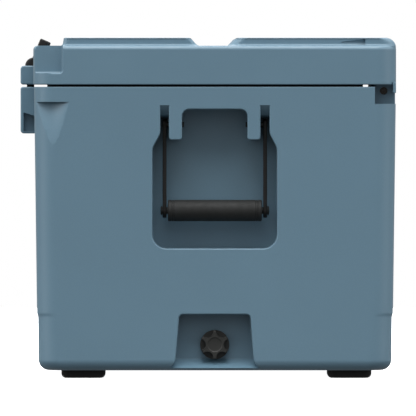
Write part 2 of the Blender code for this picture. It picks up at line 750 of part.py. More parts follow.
def build_drain(parts, tools):
    wall = HALF_LENGTH - DRAIN_DEPTH
    centre = (DRAIN_Y, DRAIN_Z)
    fitting = cylinder("drain_fitting", "X", centre, (258, wall + 1), 11.0, parts, 24)
    flange = cylinder("flange", "X", centre, (wall + GAP, wall + 2.8), 15.5, tools, 32)
    join(fitting, flange)
    cut(fitting, cylinder("bore", "X", centre, (200, 400), 8.2, tools, 24))
    finish(fitting, "black_plastic")
    nut = cylinder("drain_nut", "X", centre, (262, 270.3), 14.0, parts, 6)
    cut(nut, cylinder("bore", "X", centre, (200, 400), 11.0 + GAP, tools, 24))
    finish(nut, "black_plastic", smooth=False)
    face = wall + 5.6
    seal = cylinder("drain_seal", "X", centre, (wall + 3.1, face - GAP), 11.5, parts, 24)
    cut(seal, cylinder("bore", "X", centre, (200, 400), 7.7 + GAP, tools, 24))
    carrier = joint_axis("drain_axis", (wall, *centre), parts)
    carry(carrier, finish(seal, "rubber"))
    knob = cylinder("drain_knob", "X", centre, (face, face + 12.5), KNOB_R, parts, 36)
    bevel(knob, 1.2, 1, 60)
    scallops = []
    for i in range(6):
        angle = radians(60 * i)
        reach = KNOB_INNER_R + 6.0
        spot = (DRAIN_Y + reach * cos(angle), DRAIN_Z + reach * sin(angle))
        scallops.append(cylinder("scallop", "X", spot, (face + 3.0, face + 30), 6.0, tools, 12))
    cut(knob, *scallops)
    join(knob, cylinder("stem", "X", centre, (wall - 26, face + 2), 7.7, tools, 20))
    carry(carrier, finish(knob, "black_plastic"))


def build_feet(parts):
    for place, middle in zip(("front", "back"), FOOT_Y):
        rings = []
        for z, curl in ((0.0, 6.0), (2.0, 2.6), (5.0, 0.5), (BASE_Z - GAP, 0.0)):
            corners = (
                (FOOT_X[1] - curl, middle + FOOT_HALF - curl, 9),
                (FOOT_X[0] + curl, middle + FOOT_HALF - curl, 9),
                (FOOT_X[0] + curl, middle - FOOT_HALF + curl, 9),
                (FOOT_X[1] - curl, middle - FOOT_HALF + curl, 9),
            )
            rings.append([(x, y, z) for x, y in rounded(corners, 3)])
        finish(loft(f"foot_{place}", rings, parts), "rubber")


def build_wheels(parts, tools):
    centre = (WHEEL_X, WHEEL_R)
    for place, middle, side in zip(("front", "back"), FOOT_Y, (-1, 1)):
        inner, outer = middle - TYRE_HALF, middle + TYRE_HALF
        tyre = cylinder(f"tyre_{place}", "Y", centre, (inner, outer), WHEEL_R, parts, 32)
        bevel(tyre, 7.5, 2, 60)
        cut(tyre, cylinder("core", "Y", centre, (inner - 9, outer + 9), 44.0 + GAP, tools, 32))
        carrier = joint_axis(f"wheel_{place}_axis", (WHEEL_X, middle, WHEEL_R), parts)
        carry(carrier, finish(tyre, "rubber"))
        hub = cylinder(f"hub_{place}", "Y", centre, (inner + 1.5, outer - 1.5), 44.0, parts, 32)
        face = middle + side * (TYRE_HALF - 1.5)
        dish = sorted((face + side * 5, face - side * 9))
        ring = cylinder("ring", "Y", centre, dish, 38.0, tools, 28)
        cut(ring, cylinder("post", "Y", centre, (inner - 20, outer + 20), 15.0, tools, 20))
        spokes = [
            cylinder(
                "hole",
                "Y",
                (WHEEL_X + 26.5 * cos(radians(72 * i + 90)), WHEEL_R + 26.5 * sin(radians(72 * i + 90))),
                (inner - 20, outer + 20),
                7.5,
                tools,
                12,
            )
            for i in range(5)
        ]
        bore = cylinder("bore", "Y", centre, (inner - 20, outer + 20), 8.0 + GAP, tools, 20)
        cut(hub, ring, *spokes, bore)
        carry(carrier, finish(hub, "black_plastic"))
        bush = cylinder(f"wheel_bush_{place}", "Y", centre, (inner + 1.0, outer - 1.0), 8.0, parts, 20)
        cut(bush, cylinder("bore", "Y", centre, (inner - 20, outer + 20), AXLE_R + 0.1, tools, 20))
        carry(carrier, finish(bush, "black_plastic"))
        ends = sorted((middle + side * 22.0, middle + side * 29.0))
        cap = cylinder(f"axle_cap_{place}", "Y", centre, ends, 11.0, parts, 24)
        bevel(cap, 1.5, 2, 60)
        blind = sorted((middle + side * 15.0, middle + side * 26.0))
        cut(cap, cylinder("bore", "Y", centre, blind, AXLE_R + GAP, tools, 20))
        finish(cap, "black_plastic")
    reach = (FOOT_Y[0] - 25.5, FOOT_Y[1] + 25.5)
    finish(cylinder("axle", "Y", centre, reach, AXLE_R, parts, 20), "steel")


def main():
    clear_scene()
    parts = make_collection("wheeled_cooler")
    tools = make_collection("cutters")
    tools.hide_render = True
    build_tub_shell(parts, tools)
    build_tub_liner(parts, tools)
    build_tub_foam(parts, tools)
    lid_pieces = [build_lid_shell(parts, tools), *build_lid_inside(parts, tools)]
    carry(joint_axis("lid_axis", (0.0, HINGE_Y, HINGE_Z), parts), *lid_pieces)
    build_hinge_pin(parts)
    for name, middle in zip(("latch_wheel_end", "latch_drain_end"), LATCH_X):
        build_latch(name, middle, parts, tools)
    build_handle("wheel_end", -1, parts, tools)
    build_handle("drain_end", 1, parts, tools)
    build_drain(parts, tools)
    build_feet(parts)
    build_wheels(parts, tools)


main()
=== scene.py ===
"""Looks for the hard-sided wheeled cooler: fine moulded surfaces and procedural materials.

Lengths are in millimetres in the CAD frame (+X drain end, -Y latch side, +Z up) and become metres as
each mesh is made. Sizes of whole parts come from the frame's own boxes.
"""

import json
from math import atan2, cos, pi, radians, sin, sqrt

import bmesh
import bpy
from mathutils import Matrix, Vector

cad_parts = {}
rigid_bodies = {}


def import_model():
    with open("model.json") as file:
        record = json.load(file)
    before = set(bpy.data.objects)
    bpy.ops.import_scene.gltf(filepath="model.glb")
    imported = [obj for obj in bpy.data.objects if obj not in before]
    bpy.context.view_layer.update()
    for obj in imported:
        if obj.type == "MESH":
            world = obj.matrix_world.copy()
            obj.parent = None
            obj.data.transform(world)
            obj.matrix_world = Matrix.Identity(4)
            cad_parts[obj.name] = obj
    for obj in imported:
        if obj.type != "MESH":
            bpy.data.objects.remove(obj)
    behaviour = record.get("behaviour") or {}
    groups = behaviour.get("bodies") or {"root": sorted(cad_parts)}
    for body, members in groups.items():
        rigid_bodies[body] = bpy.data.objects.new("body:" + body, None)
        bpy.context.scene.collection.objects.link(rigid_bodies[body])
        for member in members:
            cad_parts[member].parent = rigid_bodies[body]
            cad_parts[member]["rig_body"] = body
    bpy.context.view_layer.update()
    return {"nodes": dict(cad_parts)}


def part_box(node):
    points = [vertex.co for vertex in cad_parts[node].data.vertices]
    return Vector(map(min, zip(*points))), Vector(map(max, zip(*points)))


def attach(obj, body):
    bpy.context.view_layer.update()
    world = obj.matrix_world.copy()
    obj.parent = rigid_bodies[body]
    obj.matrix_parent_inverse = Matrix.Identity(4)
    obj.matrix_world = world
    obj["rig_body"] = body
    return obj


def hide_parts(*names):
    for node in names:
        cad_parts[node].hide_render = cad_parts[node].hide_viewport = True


MM = 0.001
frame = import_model()


def extent(node):
    """A node's lowest and highest corners in millimetres."""
    low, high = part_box(node)
    return [value / MM for value in low], [value / MM for value in high]


def middle(node, axis):
    low, high = extent(node)
    return (low[axis] + high[axis]) / 2


LID_LOW, LID_HIGH = extent("lid_shell")
HALF_LENGTH = LID_HIGH[0]
RIM_Z = extent("tub_liner")[1][2]
BASE_Z = extent("tub_shell")[0][2]
LID_Z = extent("lid_liner")[1][2] - 4.0
PAD_TOP_Z = LID_HIGH[2]
LID_TOP_Z = PAD_TOP_Z - 9.2
LID_FRONT_Y = -203.0
LID_BACK_Y = LID_HIGH[1]
FRONT_Y = -202.1
BACK_Y = 218.2
BOSS_Y = LID_LOW[1]
DRAFT = 0.0085
CORNER_R = 24.0
STEP_Z = 73.5
WALL = 4.0

HINGE_Y = middle("hinge_pin", 1)
HINGE_Z = middle("hinge_pin", 2)
LEDGE_Y, LEDGE_Z = 193.5, 318.6
TUB_KNUCKLES = ((-330.0, -200.0), (-65.0, 65.0), (200.0, 330.0))
LID_KNUCKLES = ((-199.0, -66.0), (66.0, 199.0))

LATCHES = ("latch_wheel_end", "latch_drain_end")
LATCH_X = [middle(name, 0) for name in LATCHES]
PIN_Y = middle("latch_pin_drain_end", 1)
PIN_Z = middle("latch_pin_drain_end", 2)
BOSS_HALF = 47.0
BAR_HALF = 40.0
BAR_R = 10.0
BAR_Y, BAR_Z = -203.2, 362.6
REST_Z = 350.4
STRAP_HALF = 14.0
STRAP_T = 5.8

PIVOT_Z = middle("handle_pin_drain_end_front", 2)
PIVOT_X = middle("handle_pin_drain_end_front", 0)
ROD_Z = middle("handle_rod_drain_end", 2)
POCKET_DEPTH = 44.0

DRAIN_Y, DRAIN_Z = middle("drain_knob", 1), middle("drain_knob", 2)
DRAIN_DEPTH = 30.0

WHEEL_X, WHEEL_R = middle("tyre_front", 0), middle("tyre_front", 2)
FOOT_Y = (middle("foot_front", 1), middle("foot_back", 1))
ARCH_R, ARCH_HALF = 67.0, 27.0

INNER_X, INNER_FRONT_Y, INNER_BACK_Y = 278.0, -149.5, 165.5
FLOOR_Z, STEP_FLOOR_Z, STEP_X = 45.0, 152.0, -206.0


# ---------------------------------------------------------------- meshes


def object_from(bm, name):
    bmesh.ops.recalc_face_normals(bm, faces=bm.faces)
    bmesh.ops.scale(bm, vec=(MM, MM, MM), verts=bm.verts)
    mesh = bpy.data.meshes.new(name)
    bm.to_mesh(mesh)
    bm.free()
    obj = bpy.data.objects.new(name, mesh)
    bpy.context.scene.collection.objects.link(obj)
    return obj


def box(name, x, y, z):
    bm = bmesh.new()
    bmesh.ops.create_cube(bm, size=1.0)
    bmesh.ops.scale(bm, vec=(x[1] - x[0], y[1] - y[0], z[1] - z[0]), verts=bm.verts)
    centre = ((x[0] + x[1]) / 2, (y[0] + y[1]) / 2, (z[0] + z[1]) / 2)
    bmesh.ops.translate(bm, vec=centre, verts=bm.verts)
    return object_from(bm, name)


TURNING = {
    "X": ((1, 0, 0), (0, 1, 0), (0, 0, 1)),
    "Y": ((0, 1, 0), (1, 0, 0), (0, 0, 1)),
    "Z": ((0, 0, 1), (1, 0, 0), (0, 1, 0)),
}


def hoops(axis, centre, profile, sides):
    """Circles about X, Y or Z, one for each (along, radius) pair of a profile."""
    along, sideways, upward = (Vector(way) for way in TURNING[axis])
    start = sideways * centre[0] + upward * centre[1]
    rings = []
    for reach, radius in profile:
        spots = []
        for i in range(sides):
            angle = 2 * pi * i / sides
            spots.append(start + along * reach + (sideways * cos(angle) + upward * sin(angle)) * radius)
        rings.append(spots)
    return rings


def turned(name, axis, centre, profile, sides=64):
    """A closed solid of revolution: profile is (along, radius) pairs, end to end."""
    return loft(name, hoops(axis, centre, profile, sides))


def rod(name, axis, centre, span, radius, edge=0.6, sides=48):
    """A cylinder with rounded rims."""
    low, high = min(span), max(span)
    profile = [(low + edge * (1 - sin(a)), radius - edge * (1 - cos(a))) for a in steps_between(90, 0, 4)]
    profile += [(high - edge * (1 - sin(a)), radius - edge * (1 - cos(a))) for a in steps_between(0, 90, 4)]
    return turned(name, axis, centre, profile, sides)


def steps_between(first, last, count):
    return [radians(first + (last - first) * i / count) for i in range(count + 1)]


def arc(centre, radius, start, end, steps):
    u, v = centre
    return [(u + radius * cos(a), v + radius * sin(a)) for a in steps_between(start, end, steps)]


def rounded(corners, steps=8):
    """An outline from (u, v, radius) corners, each corner an arc of that radius."""
    points = []
    count = len(corners)
    for i, (u, v, radius) in enumerate(corners):
        here = Vector((u, v))
        if radius <= 0:
            points.append((u, v))
            continue
        before = (Vector(corners[i - 1][:2]) - here).normalized()
        after = (Vector(corners[(i + 1) % count][:2]) - here).normalized()
        half = before.angle(after) / 2
        centre = here + (before + after).normalized() * (radius / sin(half))
        reach = radius * cos(half) / sin(half)
        first = here + before * reach - centre
        last = here + after * reach - centre
        start = atan2(first.y, first.x)
        sweep = (atan2(last.y, last.x) - start + pi) % (2 * pi) - pi
        for step in range(steps + 1):
            angle = start + sweep * step / steps
            points.append((centre.x + radius * cos(angle), centre.y + radius * sin(angle)))
    return points


def grown(outline, distance):
    """The outline moved outwards by a distance, or inwards if it is negative."""
    count = len(outline)
    area = sum(outline[i - 1][0] * outline[i][1] - outline[i][0] * outline[i - 1][1] for i in range(count))
    turn = 1.0 if area > 0 else -1.0
    made = []
    for i in range(count):
        before, here, after = (Vector(outline[(i + k) % count]) for k in (-1, 0, 1))
        first, second = (here - before).normalized(), (after - here).normalized()
        normal = Vector((first.y + second.y, -(first.x + second.x))) * turn
        normal.normalize()
        away = max(0.5, normal.dot(Vector((first.y, -first.x)) * turn))
        made.append(tuple(here + normal * (distance / away)))
    return made


def loft(name, rings):
    """A closed solid through rings of equally many points, capped at both ends."""
    bm = bmesh.new()
    loops = [[bm.verts.new(point) for point in ring] for ring in rings]
    count = len(loops[0])
    for low, high in zip(loops, loops[1:]):
        for i in range(count):
            j = (i + 1) % count
            bm.faces.new((low[i], low[j], high[j], high[i]))
    bm.faces.new(list(reversed(loops[0])))
    bm.faces.new(loops[-1])
    return object_from(bm, name)


def closed_sweep(name, loops):
    """A ring-shaped solid: each loop joins the next, and the last joins the first."""
    bm = bmesh.new()
    rows = [[bm.verts.new(point) for point in loop] for loop in loops]
    count = len(rows[0])
    for k in range(len(rows)):
        low, high = rows[k - 1], rows[k]
        for i in range(count):
            j = (i + 1) % count
            bm.faces.new((low[i], low[j], high[j], high[i]))
    return object_from(bm, name)


PLANES = {
    "X": lambda u, v, w: (w, u, v),
    "Y": lambda u, v, w: (u, w, v),
    "Z": lambda u, v, w: (u, v, w),
}


def prism(name, outline, axis, span, edge=0.0, steps=3):
    """A flat outline extruded along an axis, with both rims rounded by edge."""
    low, high = min(span), max(span)
    if edge <= 0:
        levels = [(low, 0.0), (high, 0.0)]
    else:
        levels = [(low + edge * (1 - sin(a)), -edge * (1 - cos(a))) for a in steps_between(90, 0, steps)]
        levels += [(high - edge * (1 - sin(a)), -edge * (1 - cos(a))) for a in steps_between(0, 90, steps)]
    place = PLANES[axis]
    return loft(name, [[place(u, v, w) for u, v in grown(outline, more)] for w, more in levels])


def ring_at(z, half_x, front, back, radius, steps=8):
    corners = (
        (half_x, back, radius),
        (-half_x, back, radius),
        (-half_x, front, radius),
        (half_x, front, radius),
    )
    return [(x, y, z) for x, y in rounded(corners, steps)]


def combine(target, others, operation):
    """Adds or takes away the other solids, one EXACT Boolean at a time."""
    for other in others:
        modifier = target.modifiers.new(operation.lower(), "BOOLEAN")
        modifier.operation = operation
        modifier.solver = "EXACT"
        modifier.object = other
        welded(applied(target))
        bpy.data.objects.remove(other, do_unlink=True)
    return target


def welded(obj):
    """Merges points that a Boolean left within a few micrometres of each other."""
    bm = bmesh.new()
    bm.from_mesh(obj.data)
    bmesh.ops.remove_doubles(bm, verts=bm.verts, dist=0.000004)
    bmesh.ops.dissolve_degenerate(bm, dist=0.000002, edges=bm.edges)
    bm.to_mesh(obj.data)
    bm.free()
    return obj


def applied(obj):
    """Applies every modifier on a piece."""
    bpy.context.view_layer.update()
    graph = bpy.context.evaluated_depsgraph_get()
    mesh = bpy.data.meshes.new_from_object(obj.evaluated_get(graph))
    obj.modifiers.clear()
    obj.data = mesh
    return obj


def cut(target, *others):
    return combine(target, others, "DIFFERENCE")


def join(target, *others):
    return combine(target, others, "UNION")


def softened(obj, width, segments=3, angle=30.0):
    """Rounds a piece's sharp edges."""
    modifier = obj.modifiers.new("edges", "BEVEL")
    modifier.width = width * MM
    modifier.segments = segments
    modifier.limit_method = "ANGLE"
    modifier.angle_limit = radians(angle)
    return applied(obj)


def dressed(obj, material, node, angle=32.0):
    """Shades a piece, gives it its material, and lets it stand for a CAD node on that node's body."""
    welded(obj)
    obj.data.materials.clear()
    obj.data.materials.append(material)
    obj.data.shade_smooth()
    obj.data.set_sharp_from_angle(angle=radians(angle))
    weighted = obj.modifiers.new("weighted", "WEIGHTED_NORMAL")
    weighted.keep_sharp = True
    weighted.weight = 80
    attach(obj, frame["nodes"][node]["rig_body"])
    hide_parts(node)
    return obj


# ---------------------------------------------------------------- materials


class Nodes:
    """A short way to build one material's node tree."""

    def __init__(self, name):
        self.material = bpy.data.materials.new(name)
        self.material.use_nodes = True
        self.tree = self.material.node_tree
        self.shader = self.tree.nodes["Principled BSDF"]
        self.place = self.tree.nodes.new("ShaderNodeTexCoord").outputs["Object"]

    def set(self, **values):
        for socket, value in values.items():
            self.shader.inputs[socket.replace("_", " ")].default_value = value
        return self

    def noise(self, scale, detail=4.0, roughness=0.5):
        node = self.tree.nodes.new("ShaderNodeTexNoise")
        node.inputs["Scale"].default_value = scale
        node.inputs["Detail"].default_value = detail
        node.inputs["Roughness"].default_value = roughness
        self.tree.links.new(self.place, node.inputs["Vector"])
        return node.outputs["Fac"]

    def cells(self, scale):
        node = self.tree.nodes.new("ShaderNodeTexVoronoi")
        node.inputs["Scale"].default_value = scale
        self.tree.links.new(self.place, node.inputs["Vector"])
        return node.outputs["Distance"]

    def ramp(self, factor, *stops):
        node = self.tree.nodes.new("ShaderNodeValToRGB")
        while len(node.color_ramp.elements) < len(stops):
            node.color_ramp.elements.new(0.5)
        for element, (position, colour) in zip(node.color_ramp.elements, stops):
            element.position = position
            element.color = (*colour, 1.0)
        self.tree.links.new(factor, node.inputs["Fac"])
        return node.outputs["Color"]

    def span(self, factor, low, high):
        node = self.tree.nodes.new("ShaderNodeMapRange")
        node.inputs["From Min"].default_value = 0.3
        node.inputs["From Max"].default_value = 0.7
        node.inputs["To Min"].default_value = low
        node.inputs["To Max"].default_value = high
        self.tree.links.new(factor, node.inputs["Value"])
        return node.outputs["Result"]

    def mixed(self, first, second, share, blend="MIX"):
        node = self.tree.nodes.new("ShaderNodeMix")
        node.data_type = "RGBA"
        node.blend_type = blend
        node.inputs["Factor"].default_value = share
        self.tree.links.new(first, node.inputs[6])
        self.tree.links.new(second, node.inputs[7])
        return node.outputs[2]

    def link(self, output, socket):
        self.tree.links.new(output, self.shader.inputs[socket])
        return self

    def bump(self, *layers):
        """Stacks bump layers of (height, strength, distance in millimetres)."""
        normal = None
        for height, strength, distance in layers:
            node = self.tree.nodes.new("ShaderNodeBump")
            node.inputs["Strength"].default_value = strength
            node.inputs["Distance"].default_value = distance * MM
            self.tree.links.new(height, node.inputs["Height"])
            if normal:
                self.tree.links.new(normal, node.inputs["Normal"])
            normal = node.outputs["Normal"]
        self.tree.links.new(normal, self.shader.inputs["Normal"])
        return self.material


def shaded(colour, factor):
    return tuple(channel * factor for channel in colour)


def moulded_plastic(name, colour, roughness=(0.36, 0.46), grain=0.10, ior=1.5):
    """Satin injection-moulded plastic: faint flow marks, a fine spark-eroded grain and uneven gloss."""
    make = Nodes(name)
    flow = make.noise(9.0, 5.0, 0.55)
    fine = make.noise(900.0, 3.0, 0.6)
    tone = make.ramp(flow, (0.3, shaded(colour, 0.965)), (0.7, shaded(colour, 1.035)))
    speck = make.ramp(fine, (0.35, shaded(colour, 0.93)), (0.65, shaded(colour, 1.07)))
    make.link(make.mixed(tone, speck, 0.35), "Base Color")
    make.link(make.span(make.noise(60.0, 4.0), *roughness), "Roughness")
    make.set(IOR=ior)
    waves = make.noise(24.0, 2.0)
    return make.bump((waves, 0.05, 0.5), (make.cells(1500.0), grain, 0.05), (fine, grain, 0.04))


def moulded_rubber(name, colour, roughness=(0.55, 0.72), grain=0.25):
    """Matt rubber with a pebbled skin, dusty in its low spots."""
    make = Nodes(name)
    cloud = make.noise(45.0, 5.0, 0.6)
    dust = make.noise(420.0, 2.0, 0.7)
    tone = make.ramp(cloud, (0.3, shaded(colour, 0.8)), (0.7, shaded(colour, 1.25)))
    speck = make.ramp(dust, (0.5, colour), (0.8, shaded(colour, 2.0)))
    make.link(make.mixed(tone, speck, 0.3), "Base Color")
    make.link(make.span(make.noise(150.0, 3.0), *roughness), "Roughness")
    make.set(IOR=1.36, Sheen_Weight=0.02, Sheen_Roughness=0.5)
    return make.bump((make.cells(1100.0), grain, 0.08), (dust, 0.15, 0.06))


def drawn_steel(name, colour):
    """Drawn bar: fine lines and a slight haze."""
    make = Nodes(name)
    haze = make.noise(80.0, 5.0)
    make.link(make.ramp(haze, (0.3, shaded(colour, 0.88)), (0.7, shaded(colour, 1.12))), "Base Color")
    make.link(make.span(make.noise(700.0, 2.0), 0.22, 0.38), "Roughness")
    make.set(Metallic=1.0)
    return make.bump((make.noise(1600.0, 2.0), 0.12, 0.03))


def studio_floor():
    make = Nodes("studio_floor")
    tone = make.ramp(make.noise(3.0), (0.3, (0.86, 0.86, 0.86)), (0.7, (0.88, 0.88, 0.88)))
    make.link(tone, "Base Color")
    make.set(Roughness=0.9, Emission_Color=(1.0, 1.0, 1.0, 1.0), Emission_Strength=1.0)
    return make.bump((make.noise(220.0), 0.02, 0.2))


BLUE = (0.100, 0.180, 0.240)
SHELL = moulded_plastic("shell_blue", BLUE)
LINER = moulded_plastic("liner_grey", (0.34, 0.365, 0.38), (0.30, 0.42), 0.05)
BLACK = moulded_plastic("black_nylon", (0.016, 0.017, 0.016), (0.45, 0.58), 0.2, 1.42)
ARM = moulded_plastic("arm_black", (0.006, 0.006, 0.006), (0.55, 0.65), 0.15, 1.32)
RUBBER = moulded_rubber("latch_rubber", (0.009, 0.009, 0.009))
GRIP = moulded_rubber("grip_rubber", (0.010, 0.011, 0.011), (0.55, 0.7))
TYRE = moulded_rubber("tyre_rubber", (0.018, 0.018, 0.018), (0.65, 0.82), 0.4)
GASKET = moulded_rubber("gasket_rubber", (0.006, 0.006, 0.006), (0.5, 0.6), 0.1)
ACETAL = moulded_plastic("bush_white", (0.62, 0.62, 0.60), (0.25, 0.35), 0.03)
FOAM = moulded_rubber("foam_cream", (0.75, 0.68, 0.45), (0.85, 0.95), 0.8)
STEEL = drawn_steel("drawn_steel", (0.54, 0.55, 0.56))
# Near-black steel for the hinge pin is painted shade: its colour makes the pin's end in the hinge notch read
# as a dark, shaded bore.
HINGE_PIN_SHADE_STEEL = drawn_steel("steel_darkened_as_painted_shade", (0.035, 0.032, 0.030))


# ---------------------------------------------------------------- tub


def end_x(z):
    """The drafted end wall's X at a height."""
    return HALF_LENGTH - DRAFT * (RIM_Z - z)


def tub_form(name):
    """The tub's outer form, with a rounded base and the small shoulder on its long faces."""
    levels = [(BASE_Z + 12.0 * (1 - cos(a)), 12.0 - 12.0 * sin(a)) for a in steps_between(0, 90, 8)]
    levels += [(z, 0.0) for z in (45.0, STEP_Z - 2.6, STEP_Z - 1.3, STEP_Z, STEP_Z + 1.3, STEP_Z + 2.6)]
    levels += [(z, 0.0) for z in (140.0, 230.0)]
    levels += [(RIM_Z - 0.6 * (1 - sin(a)), 0.6 * (1 - cos(a))) for a in steps_between(0, 90, 3)]
    rings = []
    for z, curl in levels:
        rise = min(max((z - STEP_Z + 2.6) / 5.2, 0.0), 1.0)
        shoulder = 1.2 * (1 - rise * rise * (3 - 2 * rise))
        inward = curl + shoulder + 0.0128 * (RIM_Z - z)
        rings.append(ring_at(z, end_x(z) - curl, FRONT_Y + inward, BACK_Y - inward, CORNER_R, 12))
    return loft(name, rings)


def sunk(name, outline, sign, depth, mouth_r, floor_r):
    """A cutter for a pocket in an end wall, its mouth and floor edges rounded. The outline is in YZ."""
    floor_x = HALF_LENGTH - depth
    rings = []
    for a in steps_between(0, 90, 5):
        ring = grown(outline, -floor_r * (1 - sin(a)))
        rings.append([(sign * (floor_x + floor_r * (1 - cos(a))), y, z) for y, z in ring])
    for a in steps_between(0, 90, 4):
        ring = grown(outline, mouth_r * (1 - cos(a)))
        rings.append([(sign * (end_x(z) - mouth_r * (1 - sin(a))), y, z) for y, z in ring])
    last = grown(outline, mouth_r)
    rings.append([(sign * (HALF_LENGTH + 4.0), y, z) for y, z in last])
    return loft(name, rings)


def pocket_outline():
    """The handle pocket: a wide well, a raised middle, two tabs and a slot above each arm."""
    corners = (
        (-64.7, 150.7, 16),
        (80.0, 150.7, 16),
        (80.0, 267.0, 16),
        (71.2, 284.0, 14),
        (71.2, 317.4, 0.8),
        (60.7, 317.4, 0.8),
        (60.7, 276.7, 3.4),
        (45.6, 276.7, 3.4),
        (45.6, 312.3, 8.5),
        (-30.3, 312.3, 8.5),
        (-30.3, 276.7, 3.4),
        (-45.6, 276.7, 3.4),
        (-45.6, 317.4, 0.8),
        (-55.5, 317.4, 0.8),
        (-55.5, 284.0, 14),
        (-64.7, 267.0, 16),
    )
    return rounded(corners, 6)


def pocket_cutter(sign):
    """The pocket with a ramped roof in the slot above each arm."""
    pocket = sunk("pocket", pocket_outline(), sign, POCKET_DEPTH, 1.5, 0.7)
    under = [(361.0, 323.5), (345.2, 306.0), (342.8, 304.4), (333.5, 302.4), (300.0, 302.4)]
    outline = [(sign * x, z) for x, z in under + [(300.0, 330.0), (361.0, 330.0)]]
    return cut(pocket, *[prism("roof", outline, "Y", span) for span in ((-60, -38), (53, 76))])


def drain_cutter():
    """The drain recess: wider below, with sides that flare at the base and a sloping floor."""
    outline = rounded(
        (
            (-46.6, -2.0, 0),
            (62.5, -2.0, 0),
            (62.5, BASE_Z, 0.6),
            (52.9, 19.0, 14),
            (48.7, 74.2, 4.5),
            (-33.5, 74.2, 4.5),
            (-38.1, 19.0, 14),
            (-46.6, BASE_Z, 0.6),
        ),
        6,
    )
    recess = sunk("recess", outline, 1, DRAIN_DEPTH, 1.6, 1.6)
    back = HALF_LENGTH - DRAIN_DEPTH
    slope = [(back - 1, -6.0), (back - 1, 20.5)] + arc((back + 7, 27.0), 7.5, 215, 250, 4)
    slope += [(HALF_LENGTH - 1.5, BASE_Z + 0.4), (HALF_LENGTH - 1.5, -6.0)]
    return cut(recess, prism("slope", slope, "Y", (-80, 90)))


def scoop_cutter(sign):
    """The finger scoop under the rim at a front corner: deepest at its top and at the corner."""
    outer = HALF_LENGTH + 6.0
    rings = []
    for i in range(17):
        share = i / 16
        width = 14.0 + 16.0 * share
        full = 11.5 * share * share
        curve = [(HALF_LENGTH + 0.6 - full - 4.0 * share * share, -216.0)]
        for k in range(15):
            depth = full * (1 + cos(pi * k / 14)) / 2
            curve.append((HALF_LENGTH + 0.6 - depth, -186.0 + width * k / 14))
        curve += [(outer, -186.0 + width), (outer, -216.0)]
        rings.append([(sign * x, y, 238.0 + 82.9 * share) for x, y in curve])
    return loft("scoop", rings)


def wheel_arch(wheel_y, side):
    """Room for one wheel, open below, at the end and at the side."""
    span = (wheel_y - side * ARCH_HALF, side * 240.0)
    top = arc((WHEEL_X, WHEEL_R), ARCH_R, 0, 122, 30)
    outline = [(WHEEL_X + ARCH_R, -6.0)] + top
    outline += [(-372.0, WHEEL_R + ARCH_R * sin(radians(122))), (-372.0, -6.0)]
    return prism("arch", outline, "Y", span, 1.5)


def tub_boss(x):
    top = RIM_Z - 0.03
    outline = rounded(((-190, top, 0), (-190, 284, 0), (BOSS_Y, 284, 4), (BOSS_Y, top, 2.5)), 6)
    return prism("boss", outline, "X", (x - BOSS_HALF, x + BOSS_HALF), 1.6)


def tub_knuckle(low, high):
    outline = [(192, 311), (217.2, 311), (217.2, HINGE_Z - 3)]
    outline += arc((HINGE_Y, HINGE_Z), 13.0, 5, 90, 10) + [(192, HINGE_Z + 13)]
    knuckle = prism("knuckle", outline, "X", (low, high), 0.8)
    return cut(knuckle, box("trim", (-400, 400), (150, 194.2), (RIM_Z - 0.3, 370)))


def well_rings(low, floor_x, top, shoulder, grow):
    """Rings of the liner's inner form, with rounded floor edges."""
    front, back = INNER_FRONT_Y - grow, INNER_BACK_Y + grow
    centre, depth = (front + back) / 2, (back - front) / 2
    half = INNER_X + grow
    rings = []
    levels = [(low + 14.0 * (1 - cos(a)), 14.0 * (1 - sin(a))) for a in steps_between(0, 90, 6)]
    levels.append((top, 0.0))
    for z, curl in levels:
        inward = 0.012 * (RIM_Z - min(z, RIM_Z)) + curl + shoulder
        x_low, x_high = max(floor_x, -half) + inward, half - inward
        corner = max(26.0 + grow - curl, 5.0)
        sides = ((x_high, 1), (x_low, 1), (x_low, -1), (x_high, -1))
        corners = [(x, centre + y * (depth - inward), corner) for x, y in sides]
        rings.append([(x, y, z) for x, y in rounded(corners, 8)])
    return rings


def well_form(name, grow, top):
    """The cooler's inside, grown outwards: a deep well, a raised floor over the wheels and a drain sump."""
    deep = loft(name, well_rings(FLOOR_Z - grow, STEP_X - grow, STEP_FLOOR_Z + 30, 1.5, grow))
    shallow = loft("shallow", well_rings(STEP_FLOOR_Z - grow, -1000.0, top, 0.0, grow))
    sump = rounded(
        (
            (DRAIN_Y - 22 - grow, 60, 0),
            (DRAIN_Y - 20 - grow, 24.5 - grow, 6),
            (DRAIN_Y + 20 + grow, 24.5 - grow, 6),
            (DRAIN_Y + 22 + grow, 60, 0),
        ),
        6,
    )
    return join(deep, shallow, prism("sump", sump, "X", (216 - grow, INNER_X - 3.5 + grow)))


def flange_outline(clearance):
    """The liner's rim, inside the tub's outer wall and clear of the corner scoops."""
    reach = HALF_LENGTH - WALL - clearance
    return [(x, y) for x, y, _ in ring_at(0, reach, FRONT_Y + WALL + 9, LEDGE_Y - 8.3 + clearance, 18)]


